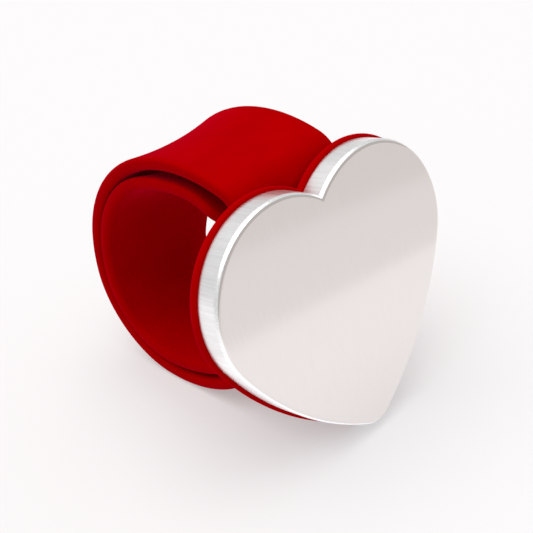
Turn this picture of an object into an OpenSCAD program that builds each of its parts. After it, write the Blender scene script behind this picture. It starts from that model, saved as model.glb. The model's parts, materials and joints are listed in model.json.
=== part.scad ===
// Heart-fronted slap wristband, coiled closed and resting on its band and on the tip of the heart.
// X runs across the band, Y from the heart's face to the back of the coil, Z up.

/* [Heart] */
// Width of the heart across its two lobes
heart_w = 56; // [50:1:64]
// Radius of each lobe
lobe_r = 16.8; // [15.5:0.1:18]
// Radius of the long side curves that run from the lobes to the tip
side_r = 60; // [54:1:70]
// Angle below the horizontal at which a lobe runs on into its side curve
side_angle = 27; // [22:1:32]
// Radius of the rounded tip
tip_r = 5.6; // [4:0.2:7]
// Angle by which the heart leans back from upright
heart_lean = 9.9; // [8:0.1:12]

/* [Cover] */
// Depth of the drawn metal cover
cover_depth = 4.8; // [4.4:0.1:6]
// Outside radius round the cover's front edge
cover_edge_r = 0.9; // [0.7:0.1:1.4]
// Thickness of the cover's sheet metal
cover_wall = 0.5; // [0.4:0.1:0.6]

/* [Base] */
// Thickness of the moulded base behind the cover
base_t = 1.8; // [1.6:0.1:2.4]
// How far the base stands out past the cover all round
base_lip = 0.9; // [0.7:0.1:1.4]

/* [Magnets] */
// Diameter of each magnet disc
magnet_d = 10; // [6:0.5:10]
// Thickness of each magnet disc
magnet_t = 2; // [1:0.1:2.2]

/* [Band] */
// Width of the silicone band
band_w = 25.2; // [23:0.2:28]
// Thickness of the silicone band
band_t = 2.6; // [2.4:0.1:2.7]
// Radius along the band's long edges
band_edge_r = 1; // [0.6:0.1:1.1]
// Corner radius at the band's two ends, seen from above
band_end_r = 4; // [3:0.5:6]

/* [Spring strip] */
// Width of the steel spring strip
strip_w = 19; // [17:0.5:20]
// Thickness of the steel spring strip
strip_t = 0.3; // [0.2:0.05:0.4]

/* [Hidden] */
$fn = 96;

// Fits and small clearances
strip_gap = 0.05;
hinge_gap = 0.05;
plug_gap = 0.2;
carrier_gap = 0.1;
strip_end_gap = 0.3;

// Solid silicone at the band's two ends, and the distance from an end to the spring strip in it
band_end_solid = 2.5;
strip_from_end = 3;

// Overlaps between solids that are joined, and the amount by which cuts run past a face
halves_overlap = 2;
join = 0.05;
over = 1;

// Difference in thickness between neighbouring lengths of the inner wing, so that one ends inside the next
length_step = 0.02;

// Layers that make up each rounded edge of a plate
edge_layers = 5;

// Heart outline, seen face on, with the lobe centres on the local X axis
lobe_x = heart_w / 2 - lobe_r;
side_centre = [lobe_x, 0] - (side_r - lobe_r) * [cos(side_angle), -sin(side_angle)];
tip_y = side_centre[1] - sqrt(pow(side_r - tip_r, 2) - pow(side_centre[0], 2));
tip_angle = atan2(tip_y - side_centre[1], -side_centre[0]);

// Stack behind the cover's front face
plug_h = 1.2;
plug_root = 0.5;
plug_edge_r = 0.3;
plate_edge_r = 0.8;
carrier_edge_r = 0.8;
carrier_t = cover_depth - cover_wall - plug_h - carrier_gap;
magnet_pocket_gap = 0.1;
magnet_places = [[-lobe_x, 1], [lobe_x, 1], [-8, -12], [8, -12], [0, -22]];

// Band path in the side plane: each arc is [radius of the middle of the band, sweep, links]
upper_arcs = [[5, 30.5, 1], [33, 108, 5], [18, 88, 4], [33, 40, 2]];
lower_arcs = [[16, 52, 1], [41, 42.5, 1], [15, 94, 1], [28.7, 95, 1], [15, 42, 1]];

// Bend that takes the band off the base, up to the outer wing's first bending line
bend_r = 5;
bend_sweep = 30.5;

// Heights up the heart between which the band lies flat against the base
patch_top = 13.5;
patch_bottom = -1.7;
band_depth = cover_depth + base_t + band_t / 2;

// Height of the heart's lobe centres when its base rests on its lower edge
base_tip_r = tip_r + base_lip;
base_low_y = tip_y - base_tip_r + plate_edge_r * (1 - cos(heart_lean));
base_low_z = -cover_depth - base_t + plate_edge_r * (1 - sin(heart_lean));
heart_z = -base_low_y * cos(heart_lean) - base_low_z * sin(heart_lean);

// Foremost point of the cover, measured from the lobe centres
face_low_y = tip_y - tip_r + cover_edge_r * (1 - sin(heart_lean));
face_low_z = -cover_edge_r * (1 - cos(heart_lean));
front_reach = face_low_y * sin(heart_lean) - face_low_z * cos(heart_lean);

// A pose along the band is [y, z, heading]; turn is 1 anticlockwise and -1 clockwise
function left_of(heading) = [-sin(heading), cos(heading)];
function arc_centre(pose, radius, turn) = [pose[0], pose[1]] + turn * radius * left_of(pose[2]);
function arc_end(pose, radius, sweep, turn) =
    let (end_heading = pose[2] + turn * sweep,
         end_point = arc_centre(pose, radius, turn) - turn * radius * left_of(end_heading))
    [end_point[0], end_point[1], end_heading];
function pose_at(start, links, turn, i) =
    i == 0 ? start
           : arc_end(pose_at(start, links, turn, i - 1), links[i - 1][0], links[i - 1][1], turn);
function split_arcs(arcs) = [for (a = arcs) for (k = [1:a[2]]) [a[0], a[1] / a[2]]];
function on_heart(up, depth) =
    [up * sin(heart_lean) + depth * cos(heart_lean),
     heart_z + up * cos(heart_lean) - depth * sin(heart_lean)];

upper_links = split_arcs(upper_arcs);
lower_links = split_arcs(lower_arcs);
link_count = len(upper_links);

// The footprint's middle lies halfway between the cover's foremost point and the back of the coil
bend_from_heart =
    arc_end(concat(on_heart(patch_top, band_depth), [90 - heart_lean]), bend_r, bend_sweep, -1);
back_arc_start = pose_at(bend_from_heart, upper_links, -1, upper_arcs[0][2] + upper_arcs[1][2]);
back_reach = arc_centre(back_arc_start, upper_arcs[2][0], -1)[0] + upper_arcs[2][0] + band_t / 2;
middle_y = (front_reach + back_reach) / 2;

function pose_on_heart(up, heading) =
    let (p = on_heart(up, band_depth)) [p[0] - middle_y, p[1], heading];
bend_start = pose_on_heart(patch_top, 90 - heart_lean);
upper_start = arc_end(bend_start, bend_r, bend_sweep, -1);
lower_start = pose_on_heart(patch_bottom, 270 - heart_lean);
function upper_pose(i) = pose_at(upper_start, upper_links, -1, i);
function lower_pose(i) = pose_at(lower_start, lower_links, 1, i);

// Angle that each hinge opens by, so that neighbouring links end up in one line
function link_sweep(i) = i < 0 ? bend_sweep : upper_links[i][1];
function hinge_opening(i) = (link_sweep(i - 1) + link_sweep(i)) / 2;

steel = [0.82, 0.81, 0.80];
red = [0.72, 0.02, 0.04];
spring_steel = [0.6, 0.62, 0.65];
dark_plastic = [0.2, 0.2, 0.22];
nickel = [0.75, 0.74, 0.7];

function number(i) = i < 10 ? str("0", i) : str(i);
LINK_NODES = [for (i = [1:link_count]) str("band_link_", number(i))];
STRIP_NODES = [for (i = [1:link_count]) str("spring_link_", number(i))];

// Turns a drawing of the side plane, local X back and local Y up, into the part's frame
module side_plane() rotate([90, 0, 90]) children();

module heart_frame() translate([0, -middle_y, heart_z]) rotate([90 - heart_lean, 0, 0]) children();

// Pie slice of a circle, wide enough to hold an arc of the outline
module pie(r, first, last) intersection() {
    circle(r);
    polygon([[0, 0], 2 * r * [cos(first), sin(first)],
             4 * r * [cos((first + last) / 2), sin((first + last) / 2)], 2 * r * [cos(last), sin(last)]]);
}

// Flat outline of the heart, grown evenly on all sides by grow; each half is a lobe, a side and half a tip
module heart_outline(grow) {
    for (side = [0, 1]) mirror([side, 0]) intersection() {
        translate([-halves_overlap, -heart_w]) square([heart_w, 2 * heart_w]);
        union() {
            translate([lobe_x, 0]) circle(lobe_r + grow);
            translate(side_centre) pie(side_r + grow, tip_angle, -side_angle);
            translate([0, tip_y]) circle(tip_r + grow);
        }
    }
}

// Plate with its front face at local Z 0, its front and back edges rounded by a stack of layers
module heart_plate(grow, depth, front_r, back_r = 0) {
    translate([0, 0, back_r - depth]) linear_extrude(depth - front_r - back_r) heart_outline(grow);
    for (k = [1:edge_layers]) {
        low = sin(90 * (k - 1) / edge_layers);
        high = sin(90 * k / edge_layers);
        inset = 1 - (cos(90 * (k - 1) / edge_layers) + cos(90 * k / edge_layers)) / 2;
        translate([0, 0, front_r * (low - 1) - join]) linear_extrude(front_r * (high - low) + join)
            heart_outline(grow - front_r * inset);
        if (back_r > 0) translate([0, 0, back_r * (1 - high) - depth])
            linear_extrude(back_r * (high - low) + join) heart_outline(grow - back_r * inset);
    }
}

// Cross-section of a band: X is its thickness and Y its width
module rounded_section(thick, wide, r) {
    square([thick, wide - 2 * r], center = true);
    square([thick - 2 * r, wide], center = true);
    for (x = [-1, 1], y = [-1, 1]) translate([x * (thick / 2 - r), y * (wide / 2 - r)]) circle(r);
}

module band_section(less = 0) rounded_section(band_t - less, band_w - less, band_edge_r);
module cavity_section(less = 0)
    square([strip_t + 2 * strip_gap - less, strip_w + 2 * strip_gap - less], center = true);
module strip_section(less = 0) square([strip_t - less, strip_w - less], center = true);

function arc_angle(arc_length, radius) = arc_length / radius * 180 / PI;

// Sweeps a cross-section along one arc of the band's path; cut_start and cut_end are lengths left off its ends
module along_arc(pose, radius, sweep, turn, cut_start = 0, cut_end = 0) {
    centre = arc_centre(pose, radius, turn);
    start_angle = arc_angle(cut_start, radius);
    end_angle = arc_angle(cut_end, radius);
    first = turn > 0 ? pose[2] - 90 + start_angle : pose[2] + 90 - sweep + end_angle;
    side_plane() translate([centre[0], centre[1], 0]) rotate([0, 0, first])
        rotate_extrude(angle = sweep - start_angle - end_angle) translate([radius, 0]) children();
}

// Sweeps a cross-section along one length of the inner wing, cut_last short of the wing's end
module along_lower(i, cut_last = 0) {
    last = i == len(lower_links) - 1;
    along_arc(lower_pose(i), lower_links[i][0], lower_links[i][1], 1, -join, last ? cut_last : 0) children();
}

// Amount by which length i of the inner wing is thinner than the flat middle of the band
function thinner(i) = (i + 1) % 2 * length_step;

// Sweeps a cross-section straight from one height on the heart to another
module along_patch(low, high) {
    p = pose_on_heart(low, 90 - heart_lean);
    side_plane() translate([p[0], p[1], 0]) rotate([0, 0, p[2] - 90]) rotate([-90, 0, 0])
        linear_extrude(high - low) children();
}

// Wedge that frees the face of a link at a hinge; ahead is 1 for the link after the hinge
module hinge_relief(i, ahead) {
    p = upper_pose(i);
    reach = band_t;
    lean = reach * tan(hinge_opening(i) / 2);
    side_plane() translate([p[0], p[1], 0]) rotate([0, 0, p[2]]) mirror([ahead > 0 ? 0 : 1, 0, 0])
        linear_extrude(band_w + 2 * over, center = true)
            polygon([[-over, -reach], [hinge_gap, -reach], [hinge_gap, 0],
                     [hinge_gap + lean, reach], [-over, reach]]);
}

// Trims the two corners of a band that ends at a pose
module end_corners(pose) {
    side_plane() translate([pose[0], pose[1], 0]) rotate([0, 0, pose[2]])
        for (side = [-1, 1]) translate([0, 0, side * band_w / 2]) difference() {
            cube([2 * band_end_r, 2 * band_t, 2 * band_end_r], center = true);
            translate([-band_end_r, 0, -side * band_end_r]) rotate([90, 0, 0])
                cylinder(r = band_end_r, h = 2 * band_t + over, center = true);
            translate([-2 * band_end_r, 0, 0])
                cube([2 * band_end_r, 3 * band_t, 3 * band_end_r], center = true);
            translate([0, 0, -2 * side * band_end_r])
                cube([3 * band_end_r, 3 * band_t, 2 * band_end_r], center = true);
        }
}

module heart_cover() color(steel) heart_frame() difference() {
    heart_plate(0, cover_depth, cover_edge_r);
    translate([0, 0, -cover_wall]) heart_plate(-cover_wall, cover_depth, cover_edge_r - cover_wall);
}

module heart_base() color(red) heart_frame() {
    translate([0, 0, -cover_depth]) heart_plate(base_lip, base_t, plate_edge_r, plate_edge_r);
    translate([0, 0, plug_h - cover_depth])
        heart_plate(-cover_wall - plug_gap, plug_h + plug_root, plug_edge_r);
}

module magnet_row(d, thick) for (p = magnet_places)
    translate([p[0], p[1], -cover_wall - carrier_gap - thick]) cylinder(d = d, h = thick);

module magnet_carrier() color(dark_plastic) heart_frame() difference() {
    translate([0, 0, -cover_wall - carrier_gap])
        heart_plate(-cover_wall - plug_gap, carrier_t, carrier_edge_r);
    translate([0, 0, over]) magnet_row(magnet_d + 2 * magnet_pocket_gap, magnet_t + over + magnet_pocket_gap);
}

module magnets() color(nickel) heart_frame() magnet_row(magnet_d, magnet_t);

// Flat middle of the band behind the heart, carried on round the inside of the coil
module inner_band() color(red) difference() {
    union() {
        along_patch(patch_bottom - join, patch_top) band_section();
        along_arc(bend_start, bend_r, bend_sweep, -1, -join) band_section(length_step);
        for (i = [0:len(lower_links) - 1]) along_lower(i) band_section(thinner(i));
    }
    along_patch(patch_bottom - join, patch_top) cavity_section();
    along_arc(bend_start, bend_r, bend_sweep, -1, -join, -join) cavity_section(length_step);
    for (i = [0:len(lower_links) - 1]) along_lower(i, band_end_solid) cavity_section(thinner(i));
    end_corners(lower_pose(len(lower_links)));
    hinge_relief(0, -1);
}

module inner_spring() color(spring_steel) {
    along_patch(patch_bottom - join, patch_top) strip_section();
    along_arc(bend_start, bend_r, bend_sweep, -1, -join, strip_end_gap) strip_section(length_step);
    for (i = [0:len(lower_links) - 1]) along_lower(i, strip_from_end) strip_section(thinner(i));
}

// One length of the outer wing between two bending lines
module band_link(i) color(red) difference() {
    last = i == link_count - 1;
    along_arc(upper_pose(i), upper_links[i][0], upper_links[i][1], -1) band_section();
    along_arc(upper_pose(i), upper_links[i][0], upper_links[i][1], -1, -join, last ? band_end_solid : -join)
        cavity_section();
    hinge_relief(i, 1);
    if (last) end_corners(upper_pose(link_count));
    else hinge_relief(i + 1, -1);
}

module spring_link(i) color(spring_steel) {
    end_gap = i == link_count - 1 ? strip_from_end : strip_end_gap;
    along_arc(upper_pose(i), upper_links[i][0], upper_links[i][1], -1, strip_end_gap, end_gap) strip_section();
}

heart_cover();
heart_base();
magnet_carrier();
magnets();
inner_band();
inner_spring();
for (i = [0:link_count - 1]) band_link(i);
for (i = [0:link_count - 1]) spring_link(i);
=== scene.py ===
"""Looks of the heart-fronted slap wristband: silicone band, red base, brushed cover, floor, light and camera.

The band is one smooth moulding. It is swept along the same arcs as the CAD links and cut into one piece for
each bending line, so that it bends smoothly where the CAD links only turn. Lengths are in millimetres until a
mesh is made.
"""

import json
import math

import bpy
import numpy as np
from mathutils import Matrix, Vector


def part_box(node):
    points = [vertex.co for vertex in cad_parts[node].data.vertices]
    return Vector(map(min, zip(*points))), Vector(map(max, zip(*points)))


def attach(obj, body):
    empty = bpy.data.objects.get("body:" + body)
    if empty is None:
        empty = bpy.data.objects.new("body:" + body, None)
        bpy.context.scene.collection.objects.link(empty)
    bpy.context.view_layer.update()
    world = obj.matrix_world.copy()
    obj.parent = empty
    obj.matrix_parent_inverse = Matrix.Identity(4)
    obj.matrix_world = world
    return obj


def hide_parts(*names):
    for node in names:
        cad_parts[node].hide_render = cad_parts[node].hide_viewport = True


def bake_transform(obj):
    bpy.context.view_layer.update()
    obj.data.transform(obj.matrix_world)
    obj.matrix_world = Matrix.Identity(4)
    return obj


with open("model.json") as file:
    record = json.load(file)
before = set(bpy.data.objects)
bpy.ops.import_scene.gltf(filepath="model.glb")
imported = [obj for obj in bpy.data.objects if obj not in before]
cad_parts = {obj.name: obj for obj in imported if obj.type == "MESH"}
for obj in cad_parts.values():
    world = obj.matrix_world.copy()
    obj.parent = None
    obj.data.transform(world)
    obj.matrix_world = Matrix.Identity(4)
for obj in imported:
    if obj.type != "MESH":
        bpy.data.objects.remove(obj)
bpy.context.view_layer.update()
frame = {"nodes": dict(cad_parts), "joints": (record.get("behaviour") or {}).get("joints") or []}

MM = 0.001
ROOT = "heart_and_inner_wing"
JOINTS = frame["joints"]
LINK_COUNT = len(JOINTS)

# Band path in the side plane, as in the CAD part: (radius of the band's middle, sweep in degrees, links)
OUTER_ARCS = [(5, 30.5, 1), (33, 108, 5), (18, 88, 4), (33, 40, 2)]
INNER_ARCS = [(16, 52), (41, 42.5), (15, 94), (28.7, 95), (15, 42)]
# The bend that takes the band off the base, up to the first bending line
BEND_RADIUS = 5.0
BEND_SWEEP = math.radians(30.5)
BEND_LENGTH = BEND_RADIUS * BEND_SWEEP
PATCH_TOP = 13.5
PATCH_LENGTH = 15.2
HEART_LEAN = math.radians(9.9)
BAND_THICKNESS = 2.6
BAND_EDGE_RADIUS = 1.0
BAND_END_RADIUS = 4.0
STRIP_WIDTH = 19.0
STRIP_THICKNESS = 0.3
STRIP_EDGE_RADIUS = STRIP_THICKNESS / 2.2
STRIP_END_GAP = 3.0

# The band's middle sags towards the wrist between its two raised edges
WAIST_SAG = 1.15
SAG_FADE = 15.0
# The inner wing's far edge leans in towards the wrist. The lean starts at a place along the band and takes a
# certain length to reach its full size.
FAR_EDGE_LEAN = 4.1
FAR_EDGE_LEAN_START = -75
FAR_EDGE_LEAN_FADE = 20
# The whole width of its end leans in as well
END_LEAN = 0.9
END_LEAN_START = -112
END_LEAN_FADE = 18
# Distance between the rings of a sweep
RING_SPACING = 0.55
# The least radius that a strip's edge keeps towards its rounded end
LEAST_EDGE_RADIUS = 0.02
# Keeps an edge radius just short of half the thickness, so that no two points of a section fall together
ROUNDING_MARGIN = 0.001


def millimetres(point):
    return [value / MM for value in point]


inner_band_low, inner_band_high = (millimetres(corner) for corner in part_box("inner_band"))
BAND_WIDTH = inner_band_high[0] - inner_band_low[0]


# ---------------------------------------------------------------- band path

class BandPath:
    """Middle line of the band. s is 0 where the band leaves the base, positive along the outer wing."""

    def __init__(self):
        first_hinge = millimetres(JOINTS[0]["pos_m"])
        hinge_pose = (first_hinge[1], first_hinge[2], math.pi / 2 - HEART_LEAN - BEND_SWEEP)
        start = self.move(hinge_pose, BEND_RADIUS, -BEND_LENGTH)
        self.runs = [(0.0, BEND_LENGTH, start, BEND_RADIUS)]
        pose, s = hinge_pose, BEND_LENGTH
        for radius, sweep, _ in OUTER_ARCS:
            length = radius * math.radians(sweep)
            self.runs.append((s, s + length, pose, radius))
            pose = self.move(pose, radius, length)
            s += length
        self.outer_end = s
        pose = self.straight(start, -PATCH_LENGTH)
        s = -PATCH_LENGTH
        self.runs.append((s, 0.0, pose, None))
        for radius, sweep in INNER_ARCS:
            length = radius * math.radians(sweep)
            pose = self.move(pose, radius, -length)
            self.runs.append((s - length, s, pose, radius))
            s -= length
        self.inner_end = s
        self.base_top = start
        self.runs.sort(key=lambda run: run[0])

    @staticmethod
    def straight(pose, length):
        y, z, heading = pose
        return y + length * math.cos(heading), z + length * math.sin(heading), heading

    @staticmethod
    def move(pose, radius, length):
        """The coil turns clockwise all the way along, seen from its right side."""
        y, z, heading = pose
        centre_y, centre_z = y + radius * math.sin(heading), z - radius * math.cos(heading)
        end = heading - length / radius
        return centre_y - radius * math.sin(end), centre_z + radius * math.cos(end), end

    def at(self, s):
        for first, last, pose, radius in self.runs:
            if s <= last or last == self.outer_end:
                if radius is None:
                    return self.straight(pose, s - first)
                return self.move(pose, radius, s - first)

    def point(self, s):
        y, z, _ = self.at(s)
        return Vector((0, y * MM, z * MM))


PATH = BandPath()


def smoothstep(t):
    t = min(max(t, 0.0), 1.0)
    return t * t * (3 - 2 * t)


def waist_sag(s):
    """How far the band's middle lies below its edges: not at all on the flat patch and the tight bend."""
    if s > 0:
        return WAIST_SAG * smoothstep((s - BEND_LENGTH) / SAG_FADE)
    return WAIST_SAG * smoothstep((-PATCH_LENGTH - s) / SAG_FADE)


def inward_lean(s, x):
    """How far the inner wing leans in at points x across it."""
    across = (x + BAND_WIDTH / 2) / BAND_WIDTH
    far_edge = FAR_EDGE_LEAN * smoothstep((FAR_EDGE_LEAN_START - s) / FAR_EDGE_LEAN_FADE)
    return far_edge * across + END_LEAN * smoothstep((END_LEAN_START - s) / END_LEAN_FADE)


def stretch(first, last, spacing=RING_SPACING):
    """Evenly spaced positions from first to last, both ends included."""
    count = max(2, int(math.ceil((last - first) / spacing)))
    return [first + (last - first) * i / count for i in range(count + 1)]


def band_end_stations(end, direction, corner_radius, count=14):
    """Positions close to a rounded end, bunched where the outline turns fastest."""
    angles = [math.pi / 2 * i / count for i in range(count + 1)]
    return [end + direction * corner_radius * (1 - math.cos(angle)) for angle in angles]


# ---------------------------------------------------------------- swept skins

def section(half_width, half_thickness, edge_radius, across=26, corner=7):
    """Closed outline of a strip's cross-section as (x, outward) points, from the middle of its right edge."""
    radius = min(edge_radius, half_thickness - ROUNDING_MARGIN, half_width - ROUNDING_MARGIN)
    flat, side = half_width - radius, half_thickness - radius
    right = [(flat + radius * math.cos(a), side + radius * math.sin(a))
             for a in (math.pi / 2 * i / corner for i in range(corner + 1))]
    left = [(-x, n) for x, n in reversed(right)]
    top = [(flat * math.cos(math.pi * i / across), half_thickness) for i in range(1, across)]
    upper = [(half_width, 0)] + right + top + left + [(-half_width, 0)]
    lower = [(x, -n) for x, n in reversed(upper[1:-1])]
    return np.array(upper + lower)


class SkinShape:
    """A strip swept along the band path: its width, thickness, edge radius, and where its two ends are."""

    def __init__(self, width, thickness, edge_radius, corner_radius, first, last):
        self.half_width, self.half_thickness = width / 2, thickness / 2
        self.edge_radius, self.corner_radius = edge_radius, corner_radius
        self.first, self.last = first, last

    def ring(self, s):
        y, z, heading = PATH.at(s)
        from_end = max(0.0, min(s - self.first, self.last - s))
        corner, edge = self.corner_radius, self.edge_radius
        narrower = corner - math.sqrt(max(0, corner ** 2 - max(0, corner - from_end) ** 2))
        thinner = edge - math.sqrt(max(0, edge ** 2 - max(0, edge - from_end) ** 2))
        half_width = self.half_width - narrower - thinner
        outline = section(half_width, self.half_thickness - thinner, max(edge - thinner, LEAST_EDGE_RADIUS))
        x, thickness = outline[:, 0], outline[:, 1]
        inward = waist_sag(s) * (1 - np.minimum(1, (x / (BAND_WIDTH / 2)) ** 2))
        inward = inward + inward_lean(s, x)
        outward = np.array([0, -math.sin(heading), math.cos(heading)])
        points = np.zeros((len(outline), 3))
        points[:, 0] = x
        points += np.array([0, y, z]) + (thickness - inward)[:, None] * outward
        return points

    def stations(self):
        body = []
        breaks = sorted({run[0] for run in PATH.runs} | {run[1] for run in PATH.runs} | set(PIECE_BREAKS))
        first, last = self.first + self.corner_radius, self.last - self.corner_radius
        breaks = [first] + [b for b in breaks if first < b < last] + [last]
        for a, b in zip(breaks, breaks[1:]):
            spacing = RING_SPACING / 2 if 0 <= a < 2 * BEND_LENGTH else RING_SPACING
            body += stretch(a, b, spacing)[:-1]
        body.append(last)
        start = band_end_stations(self.first, 1, self.corner_radius)[:-1]
        end = band_end_stations(self.last, -1, self.corner_radius)[:-1][::-1]
        return start + body + end


def hinge_positions():
    """Positions of the bending lines along the band, and of the outer wing's end."""
    positions = [BEND_LENGTH]
    for radius, sweep, links in OUTER_ARCS:
        for _ in range(links):
            positions.append(positions[-1] + radius * math.radians(sweep) / links)
    return positions


HINGES = hinge_positions()
MID_LINKS = [(a + b) / 2 for a, b in zip(HINGES, HINGES[1:])]
PIECE_BREAKS = [BEND_LENGTH / 2] + MID_LINKS[:-1]


def grid_normals(grid):
    """Normals of a grid of rings, by differences along and across it."""
    along = np.gradient(grid, axis=0)
    across = np.roll(grid, -1, axis=1) - np.roll(grid, 1, axis=1)
    normals = np.cross(along, across)
    return normals / np.maximum(np.linalg.norm(normals, axis=2, keepdims=True), 1e-12)


def mesh_object(name, vertices, faces, normals):
    """A mesh in metres from millimetre vertices, with the given vertex normals."""
    mesh = bpy.data.meshes.new(name)
    mesh.from_pydata([Vector(v) * MM for v in vertices], [], faces)
    mesh.polygons.foreach_set("use_smooth", [True] * len(mesh.polygons))
    mesh.validate()
    mesh.normals_split_custom_set_from_vertices([tuple(n) for n in normals])
    mesh.update()
    obj = bpy.data.objects.new(name, mesh)
    bpy.context.scene.collection.objects.link(obj)
    return obj


def tube_piece(name, grid, normals, along):
    """Closed tube from a slice of a swept grid; its flat ends have vertices of their own."""
    rings, count = grid.shape[:2]
    vertices = [tuple(p) for p in grid.reshape(-1, 3)]
    vertex_normals = [tuple(n) for n in normals.reshape(-1, 3)]
    faces = []
    for i in range(rings - 1):
        for j in range(count):
            k = (j + 1) % count
            faces.append((i * count + j, (i + 1) * count + j, (i + 1) * count + k, i * count + k))
    for ring, direction in ((0, -1), (rings - 1, 1)):
        base = len(vertices)
        vertices += [tuple(p) for p in grid[ring]]
        vertex_normals += [tuple(np.array(along[ring]) * direction)] * count
        # point j and point count - j face each other across the thickness
        for j in range(count // 2):
            corners = [j, j + 1, count - j - 1, (count - j) % count]
            corners = [base + c for n, c in enumerate(corners) if c not in corners[:n]]
            faces.append(tuple(corners if direction < 0 else corners[::-1]))
    return mesh_object(name, vertices, faces, vertex_normals)


def band_skins(prefix, shape, material, root_nodes, link_nodes):
    """One piece for the middle and inner wing, and one for each bending line of the outer wing."""
    stations = shape.stations()
    grid = np.array([shape.ring(s) for s in stations])
    normals = grid_normals(grid)
    along = [(0, math.cos(PATH.at(s)[2]), math.sin(PATH.at(s)[2])) for s in stations]
    limits = [shape.first] + PIECE_BREAKS + [shape.last]
    for number, (low, high) in enumerate(zip(limits, limits[1:])):
        picked = [i for i, s in enumerate(stations) if low - 1e-6 <= s <= high + 1e-6]
        part = slice(picked[0], picked[-1] + 1)
        name = f"{prefix}_middle_and_inner_wing" if number == 0 else f"{prefix}_bend_{number:02d}"
        piece = tube_piece(name, grid[part], normals[part], along[part])
        piece.data.materials.append(material)
        if number == 0:
            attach(piece, ROOT)
            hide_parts(*root_nodes)
            continue
        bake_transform(piece)
        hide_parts(link_nodes[number - 1])


# ---------------------------------------------------------------- heart plates

HEART_WIDTH = 56.0
LOBE_RADIUS = 16.8
SIDE_RADIUS = 60.0
SIDE_ANGLE = math.radians(27)
TIP_RADIUS = 5.6
COVER_DEPTH = 4.8
COVER_EDGE_RADIUS = 0.9
COVER_WALL = 0.5
# Rounding of the sheet's cut edge at the cover's open back
CUT_EDGE_RADIUS = 0.12
# A polygon is part of the cover's face if more than this share of its normal points forward
FACE_SHARE = 0.8
BASE_THICKNESS = 1.8
BASE_LIP = 0.65
BASE_EDGE_RADIUS = 0.6
BASE_BACK_RADIUS = 1.1
PLUG_HEIGHT = 1.2
PLUG_EDGE_RADIUS = 0.3
PLUG_GAP = 0.2
# The plug's foot has two rings this far apart, one for its wall and one for the base's front
PLUG_FOOT_STEP = 0.05

LOBE_X = HEART_WIDTH / 2 - LOBE_RADIUS
SIDE_DIRECTION = np.array([math.cos(SIDE_ANGLE), -math.sin(SIDE_ANGLE)])
SIDE_CENTRE = np.array([LOBE_X, 0]) - (SIDE_RADIUS - LOBE_RADIUS) * SIDE_DIRECTION
TIP_Y = SIDE_CENTRE[1] - math.sqrt((SIDE_RADIUS - TIP_RADIUS) ** 2 - SIDE_CENTRE[0] ** 2)
TIP_ANGLE = math.atan2(TIP_Y - SIDE_CENTRE[1], -SIDE_CENTRE[0])


def outline_points(grow, per_lobe=56, per_side=36, per_tip=12):
    """Right half of the heart's outline from the notch to the tip, as (x, y, normal x, normal y)."""
    points = []

    def arc(centre, radius, first, last, count, skip_first):
        for i in range(1 if skip_first else 0, count + 1):
            angle = first + (last - first) * i / count
            nx, ny = math.cos(angle), math.sin(angle)
            points.append((centre[0] + radius * nx, centre[1] + radius * ny, nx, ny))

    lobe = LOBE_RADIUS + grow
    arc((LOBE_X, 0), lobe, math.pi - math.acos(LOBE_X / lobe), -SIDE_ANGLE, per_lobe, False)
    arc(SIDE_CENTRE, SIDE_RADIUS + grow, -SIDE_ANGLE, TIP_ANGLE, per_side, True)
    arc((0, TIP_Y), TIP_RADIUS + grow, TIP_ANGLE, -math.pi / 2, per_tip, True)
    return points


def heart_solid(name, profile, to_world):
    """Closed heart-shaped solid from a profile of (grow, local z, outward share, forward share).

    The profile starts at the front cap. Its two shares are its normal, seen in a cut across the edge.
    """
    vertices, normals, faces = [], [], []
    per_ring = None
    for side in (1, -1):
        base = len(vertices)
        for grow, z, outward, forward in profile:
            ring = outline_points(grow)
            per_ring = len(ring)
            for x, y, nx, ny in ring:
                vertices.append((side * x, y, z))
                normals.append((side * nx * outward, ny * outward, forward))
        for i in range(len(profile) - 1):
            for j in range(per_ring - 1):
                a, b = base + i * per_ring + j, base + i * per_ring + j + 1
                quad = (a, b, b + per_ring, a + per_ring)
                faces.append(quad if side > 0 else quad[::-1])
    for grow, z, _, forward in (profile[0], profile[-1]):
        ring = outline_points(grow)
        loop = [(x, y) for x, y, _, _ in ring] + [(-x, y) for x, y, _, _ in ring[-2:0:-1]]
        base = len(vertices)
        vertices += [(x, y, z) for x, y in loop]
        normals += [(0, 0, forward)] * len(loop)
        face = tuple(range(base, base + len(loop)))
        faces.append(face[::-1] if forward > 0 else face)
    rotation = to_world.to_3x3()
    world_vertices = [to_world @ Vector(v) for v in vertices]
    world_normals = [(rotation @ Vector(n)).normalized() for n in normals]
    return mesh_object(name, world_vertices, faces, world_normals)


def edge_arc(grow, z, radius, first, last, count):
    """Rounded part of a profile, from angle first to last; 90 degrees faces forward and 0 outward."""
    arc = []
    for i in range(count + 1):
        angle = math.radians(first + (last - first) * i / count)
        outward, forward = math.cos(angle), math.sin(angle)
        arc.append((grow + radius * outward, z + radius * forward, outward, forward))
    return arc


def heart_matrix():
    """From the heart's local axes to the part's: local Y runs up the heart and local Z out of its face."""
    lean_sin, lean_cos = math.sin(HEART_LEAN), math.cos(HEART_LEAN)
    rotation = Matrix(((1, 0, 0), (0, lean_sin, lean_cos), (0, -lean_cos, lean_sin))).transposed()
    # The middle of the band leaves the base PATCH_TOP up the heart
    band_depth = COVER_DEPTH + BASE_THICKNESS + BAND_THICKNESS / 2
    matrix = rotation.to_4x4()
    matrix.translation = Vector((0, *PATH.base_top[:2])) - rotation @ Vector((0, PATCH_TOP, -band_depth))
    return matrix


# ---------------------------------------------------------------- materials

# Where a noise is taken as low and as high, when it mixes two colours
LOW_NOISE = 0.3
HIGH_NOISE = 0.7
ROUGHNESS_SPREAD = 0.05
RELIEF_DEPTH = 0.00003

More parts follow.
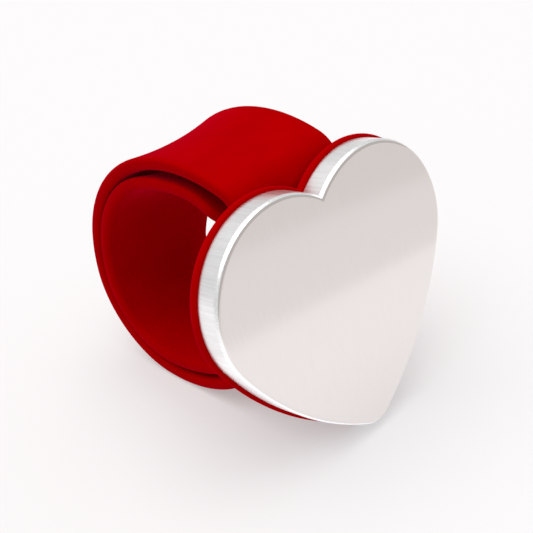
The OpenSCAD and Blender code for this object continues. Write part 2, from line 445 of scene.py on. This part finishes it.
DEEP_RED = (0.33, 0.0, 0.0)
LIGHT_RED = (0.37, 0.0, 0.0)
SHEEN_TINT = (1.0, 0.0, 0.06)
SOOT_BLACK = (0.018, 0.018, 0.02)
GREY_BLACK = (0.03, 0.03, 0.033)
# The cover is one steel sheet. Its face and wall really differ in brushing, but the face's darker, warmer
# steel is painted shade and the wall's much paler steel is painted light
FACE_STEEL_PAINTED_SHADE = (0.655, 0.61, 0.59)
WALL_STEEL_PAINTED_LIGHT = (0.93, 0.93, 0.935)
STRIP_STEEL = (0.5, 0.52, 0.55)
NICKEL = (0.68, 0.66, 0.62)


def new_material(name):
    material = bpy.data.materials.new(name)
    material.use_nodes = True
    nodes, links = material.node_tree.nodes, material.node_tree.links
    return material, nodes, links, nodes["Principled BSDF"]


def add_node(nodes, kind, **values):
    node = nodes.new(kind)
    for key, value in values.items():
        if key in node.inputs:
            node.inputs[key].default_value = value
        else:
            setattr(node, key, value)
    return node


def ramp(nodes, links, source, stops):
    """Colour ramp fed by source; stops are (position, colour)."""
    node = nodes.new("ShaderNodeValToRGB")
    while len(node.color_ramp.elements) < len(stops):
        node.color_ramp.elements.new(0.5)
    for element, (position, colour) in zip(node.color_ramp.elements, stops):
        element.position = position
        element.color = (*colour, 1)
    links.new(source, node.inputs["Fac"])
    return node


def link_range(nodes, links, source, low, high, target):
    """Feeds target with source stretched to run from low to high."""
    node = nodes.new("ShaderNodeMapRange")
    node.inputs["To Min"].default_value = low
    node.inputs["To Max"].default_value = high
    links.new(source, node.inputs["Value"])
    links.new(node.outputs["Result"], target)


def silicone_material():
    """Dyed silicone: deep red, no gloss, a velvety skin that catches light at grazing angles."""
    material, nodes, links, shader = new_material("red_silicone")
    coordinates = nodes.new("ShaderNodeTexCoord")
    shader.inputs["Specular IOR Level"].default_value = 0.0
    shader.inputs["Sheen Weight"].default_value = 0.5
    shader.inputs["Sheen Roughness"].default_value = 0.35
    shader.inputs["Sheen Tint"].default_value = (*SHEEN_TINT, 1)
    cloud = add_node(nodes, "ShaderNodeTexNoise", Scale=140.0, Detail=3.0, Roughness=0.55)
    links.new(coordinates.outputs["Object"], cloud.inputs["Vector"])
    base = ramp(nodes, links, cloud.outputs["Fac"], [(LOW_NOISE, DEEP_RED), (HIGH_NOISE, LIGHT_RED)])
    links.new(base.outputs["Color"], shader.inputs["Base Color"])
    grain = add_node(nodes, "ShaderNodeTexNoise", Scale=5200.0, Detail=2.0, Roughness=0.6)
    links.new(coordinates.outputs["Object"], grain.inputs["Vector"])
    bump = add_node(nodes, "ShaderNodeBump", Strength=0.06, Distance=0.00004)
    links.new(grain.outputs["Fac"], bump.inputs["Height"])
    links.new(bump.outputs["Normal"], shader.inputs["Normal"])
    link_range(nodes, links, grain.outputs["Fac"], 0.5, 0.64, shader.inputs["Roughness"])
    return material


def brushed_material(name, colour, roughness, stretch_by, strength, tone=0.05, turned=(0, 0, 0)):
    """Brushed metal: streaks in colour, roughness and relief, more per metre where stretch_by is greater."""
    material, nodes, links, shader = new_material(name)
    shader.inputs["Metallic"].default_value = 1.0
    coordinates = nodes.new("ShaderNodeTexCoord")
    turn = nodes.new("ShaderNodeMapping")
    turn.inputs["Rotation"].default_value = turned
    links.new(coordinates.outputs["Object"], turn.inputs["Vector"])
    mapping = nodes.new("ShaderNodeMapping")
    mapping.inputs["Scale"].default_value = stretch_by
    links.new(turn.outputs["Vector"], mapping.inputs["Vector"])
    streaks = add_node(nodes, "ShaderNodeTexNoise", Scale=1.0, Detail=4.0, Roughness=0.65)
    links.new(mapping.outputs["Vector"], streaks.inputs["Vector"])
    darker = [c * (1 - tone) for c in colour]
    lighter = [min(1, c * (1 + tone)) for c in colour]
    tones = ramp(nodes, links, streaks.outputs["Fac"], [(LOW_NOISE, darker), (HIGH_NOISE, lighter)])
    links.new(tones.outputs["Color"], shader.inputs["Base Color"])
    smoothest, roughest = roughness - ROUGHNESS_SPREAD, roughness + ROUGHNESS_SPREAD
    link_range(nodes, links, streaks.outputs["Fac"], smoothest, roughest, shader.inputs["Roughness"])
    bump = add_node(nodes, "ShaderNodeBump", Strength=strength, Distance=RELIEF_DEPTH)
    links.new(streaks.outputs["Fac"], bump.inputs["Height"])
    links.new(bump.outputs["Normal"], shader.inputs["Normal"])
    return material


def plastic_material():
    """Matt black plastic with a fine grain."""
    material, nodes, links, shader = new_material("carrier_plastic")
    coordinates = nodes.new("ShaderNodeTexCoord")
    grain = add_node(nodes, "ShaderNodeTexNoise", Scale=2600.0, Detail=3.0)
    links.new(coordinates.outputs["Object"], grain.inputs["Vector"])
    tones = ramp(nodes, links, grain.outputs["Fac"], [(LOW_NOISE, SOOT_BLACK), (HIGH_NOISE, GREY_BLACK)])
    links.new(tones.outputs["Color"], shader.inputs["Base Color"])
    shader.inputs["Roughness"].default_value = 0.6
    bump = add_node(nodes, "ShaderNodeBump", Strength=0.2, Distance=RELIEF_DEPTH)
    links.new(grain.outputs["Fac"], bump.inputs["Height"])
    links.new(bump.outputs["Normal"], shader.inputs["Normal"])
    return material


SILICONE = silicone_material()
# Turns the part's axes to the heart's, so that streaks on the cover's wall run front to back
TO_HEART = (HEART_LEAN - math.pi / 2, 0, 0)
COVER_FACE = brushed_material("cover_face", FACE_STEEL_PAINTED_SHADE, roughness=0.12, stretch_by=(2600.0, 160.0, 160.0),
                              strength=0.03, tone=0.012, turned=TO_HEART)
COVER_WALL_STEEL = brushed_material("cover_wall", WALL_STEEL_PAINTED_LIGHT, roughness=0.3,
                                    stretch_by=(3400.0, 3400.0, 90.0), strength=0.35, tone=0.11,
                                    turned=TO_HEART)
SPRING_STEEL = brushed_material("spring_steel", STRIP_STEEL, roughness=0.3, stretch_by=(6000.0, 300.0, 300.0),
                                strength=0.2)
MAGNET_NICKEL = brushed_material("magnet_nickel", NICKEL, roughness=0.2, stretch_by=(4000.0, 4000.0, 4000.0),
                                 strength=0.1)
CARRIER_PLASTIC = plastic_material()


# ---------------------------------------------------------------- the pieces

def link_names(prefix):
    return [f"{prefix}_link_{number:02d}" for number in range(1, LINK_COUNT + 1)]


band_shape = SkinShape(BAND_WIDTH, BAND_THICKNESS, BAND_EDGE_RADIUS, BAND_END_RADIUS,
                       PATH.inner_end, PATH.outer_end)
band_skins("silicone_band", band_shape, SILICONE, ["inner_band"], link_names("band"))

strip_shape = SkinShape(STRIP_WIDTH, STRIP_THICKNESS, STRIP_EDGE_RADIUS, BAND_END_RADIUS,
                        PATH.inner_end + STRIP_END_GAP, PATH.outer_end - STRIP_END_GAP)
band_skins("spring_strip", strip_shape, SPRING_STEEL, ["inner_spring"],
           link_names("spring"))

HEART = heart_matrix()

cut_edge_z = CUT_EDGE_RADIUS - COVER_DEPTH
cover_profile = (
    edge_arc(-COVER_EDGE_RADIUS, -COVER_EDGE_RADIUS, COVER_EDGE_RADIUS, 90, 0, 12)
    + edge_arc(-CUT_EDGE_RADIUS, cut_edge_z, CUT_EDGE_RADIUS, 0, -90, 4)
    + edge_arc(CUT_EDGE_RADIUS - COVER_WALL, cut_edge_z, CUT_EDGE_RADIUS, -90, -180, 4)
    + [(-COVER_WALL, -COVER_EDGE_RADIUS, -1, 0)]
    + [(-COVER_EDGE_RADIUS, -COVER_WALL, 0, -1)]
)
heart_cover = heart_solid("heart_cover_brushed", cover_profile, HEART)
for steel in (COVER_FACE, COVER_WALL_STEEL):
    heart_cover.data.materials.append(steel)
face_normal = HEART.to_3x3() @ Vector((0, 0, 1))
# Polygons facing forward get the face's darker steel, which is painted shade; the rest get the wall's paler
# steel, which is painted light
for polygon in heart_cover.data.polygons:
    polygon.material_index = 0 if polygon.normal.dot(face_normal) > FACE_SHARE else 1
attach(heart_cover, ROOT)
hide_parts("heart_cover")

base_front, base_back = -COVER_DEPTH, -COVER_DEPTH - BASE_THICKNESS
plug_grow = -COVER_WALL - PLUG_GAP
plug_front = base_front + PLUG_HEIGHT
base_profile = (
    edge_arc(plug_grow - PLUG_EDGE_RADIUS, plug_front - PLUG_EDGE_RADIUS, PLUG_EDGE_RADIUS, 90, 0, 5)
    + [(plug_grow, base_front, 1, 0), (plug_grow + PLUG_FOOT_STEP, base_front, 0, 1)]
    + edge_arc(BASE_LIP - BASE_EDGE_RADIUS, base_front - BASE_EDGE_RADIUS, BASE_EDGE_RADIUS, 90, 0, 10)
    + edge_arc(BASE_LIP - BASE_BACK_RADIUS, base_back + BASE_BACK_RADIUS, BASE_BACK_RADIUS, 0, -90, 10)
)
heart_base = heart_solid("heart_base_moulded", base_profile, HEART)
heart_base.data.materials.append(SILICONE)
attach(heart_base, ROOT)
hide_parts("heart_base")


def repaint(node, material):
    """Gives a CAD node, which is kept as it is, a material of this scene."""
    mesh = frame["nodes"][node].data
    mesh.materials.clear()
    mesh.materials.append(material)


repaint("magnet_carrier", CARRIER_PLASTIC)
repaint("magnets", MAGNET_NICKEL)


# ---------------------------------------------------------------- floor, light, camera

PAPER_GREY = (0.47, 0.46, 0.462)
PAPER_GLOW = (1.0, 0.99, 0.995)
HORIZON_STRENGTH = 0.18
ZENITH_STRENGTH = 0.92
ROOM_STRENGTH = 0.7
REFLECTOR_COLOUR = (0.92, 1.0, 1.06)
# A reflector's sides lie far out, so that only its front edge shows in the metal
REFLECTOR_WIDENING = 5
CAMERA_POSITION = (-104.4, -129.0, 126.3)
CAMERA_AZIMUTH = math.radians(-40.85)
CAMERA_ELEVATION = math.radians(31.94)
CAMERA_ROLL = math.radians(-9.37)


def studio_floor():
    """Lit table of white paper: it glows a little, so that shadows on it stay pale."""
    reach = 3.0
    mesh = bpy.data.meshes.new("studio_floor")
    corners = [(-reach, -reach, 0), (reach, -reach, 0), (reach, reach, 0), (-reach, reach, 0)]
    mesh.from_pydata(corners, [], [(0, 1, 2, 3)])
    floor = bpy.data.objects.new("studio_floor", mesh)
    bpy.context.scene.collection.objects.link(floor)
    material, _, _, shader = new_material("studio_paper")
    shader.inputs["Base Color"].default_value = (*PAPER_GREY, 1)
    shader.inputs["Roughness"].default_value = 0.9
    shader.inputs["Emission Color"].default_value = (*PAPER_GLOW, 1)
    shader.inputs["Emission Strength"].default_value = 0.36
    shader.inputs["Specular IOR Level"].default_value = 0.0
    mesh.materials.append(material)


def studio_world():
    """Bright above and dim at the horizon for matt surfaces. Metal sees a bright room all round."""
    world = bpy.data.worlds.new("studio")
    bpy.context.scene.world = world
    world.use_nodes = True
    nodes, links = world.node_tree.nodes, world.node_tree.links
    background = nodes["Background"]
    background.inputs["Color"].default_value = (1.0, 0.995, 0.99, 1)
    coordinates = nodes.new("ShaderNodeTexCoord")
    height = nodes.new("ShaderNodeSeparateXYZ")
    links.new(coordinates.outputs["Generated"], height.inputs["Vector"])
    light_path = nodes.new("ShaderNodeLightPath")
    strength = nodes.new("ShaderNodeMath")
    strength.operation = "MAXIMUM"
    link_range(nodes, links, height.outputs["Z"], HORIZON_STRENGTH, ZENITH_STRENGTH, strength.inputs[0])
    link_range(nodes, links, light_path.outputs["Is Glossy Ray"], 0.0, ROOM_STRENGTH, strength.inputs[1])
    links.new(strength.outputs["Value"], background.inputs["Strength"])


def low_reflector(name, edge_start, edge_end, reach, radiance, height):
    """Light lying flat just above the floor in front of the heart, seen only in the metal.

    Its front edge runs through two points on the floor, and it reaches from there back under the heart.
    """
    start, end = Vector((*edge_start, 0)), Vector((*edge_end, 0))
    along = (end - start).normalized()
    inward = Vector((-along.y, along.x, 0))
    width = REFLECTOR_WIDENING * (end - start).length
    data = bpy.data.lights.new(name, "AREA")
    data.shape = "RECTANGLE"
    data.size, data.size_y = width * MM, reach * MM
    data.energy = radiance * math.pi * data.size * data.size_y
    data.color = REFLECTOR_COLOUR
    light = bpy.data.objects.new(name, data)
    bpy.context.scene.collection.objects.link(light)
    middle = (start + end) / 2 + inward * reach / 2 + Vector((0, 0, height))
    rotation = Matrix((along, -inward, along.cross(-inward))).transposed()
    light.matrix_world = Matrix.Translation(middle * MM) @ rotation.to_4x4()
    light.visible_camera = False
    light.visible_diffuse = False
    light.visible_transmission = False


def soft_sun(name, azimuth, elevation, strength, width):
    """Broad soft light, the same all over the floor. Azimuth 0 is the heart's side. Angles are in degrees."""
    data = bpy.data.lights.new(name, "SUN")
    data.energy = strength
    data.angle = math.radians(width)
    light = bpy.data.objects.new(name, data)
    bpy.context.scene.collection.objects.link(light)
    a, e = math.radians(azimuth), math.radians(elevation)
    towards = Vector((math.sin(a) * math.cos(e), -math.cos(a) * math.cos(e), math.sin(e)))
    light.rotation_euler = towards.to_track_quat("Z", "Y").to_euler()


def camera():
    """From the front left, above, rolled a little, as close as a product photograph is taken."""
    across = math.cos(CAMERA_ELEVATION)
    level = Vector((math.cos(CAMERA_AZIMUTH), math.sin(CAMERA_AZIMUTH), 0))
    back = Vector((math.sin(CAMERA_AZIMUTH) * across, -math.cos(CAMERA_AZIMUTH) * across,
                   math.sin(CAMERA_ELEVATION)))
    above = back.cross(level)
    right = math.cos(CAMERA_ROLL) * level + math.sin(CAMERA_ROLL) * above
    up = -math.sin(CAMERA_ROLL) * level + math.cos(CAMERA_ROLL) * above
    data = bpy.data.cameras.new("product_camera")
    data.lens = 68.05
    data.sensor_width = 36.0
    data.shift_x, data.shift_y = -0.007, 0.006
    data.clip_start = 0.01
    view = bpy.data.objects.new("product_camera", data)
    bpy.context.scene.collection.objects.link(view)
    rotation = Matrix((right, up, back)).transposed()
    view.matrix_world = Matrix.Translation(Vector(CAMERA_POSITION) * MM) @ rotation.to_4x4()
    bpy.context.scene.camera = view


studio_floor()
studio_world()
soft_sun("overhead", azimuth=-120, elevation=80, strength=2.1, width=75)
low_reflector("reflector_far", (78, -168), (131, -125), reach=170, radiance=0.13, height=1.2)
low_reflector("reflector_near", (23, -105), (79, -83), reach=120, radiance=0.19, height=0.5)
camera()

view_settings = bpy.context.scene.view_settings
view_settings.view_transform = "Standard"
view_settings.look = "None"
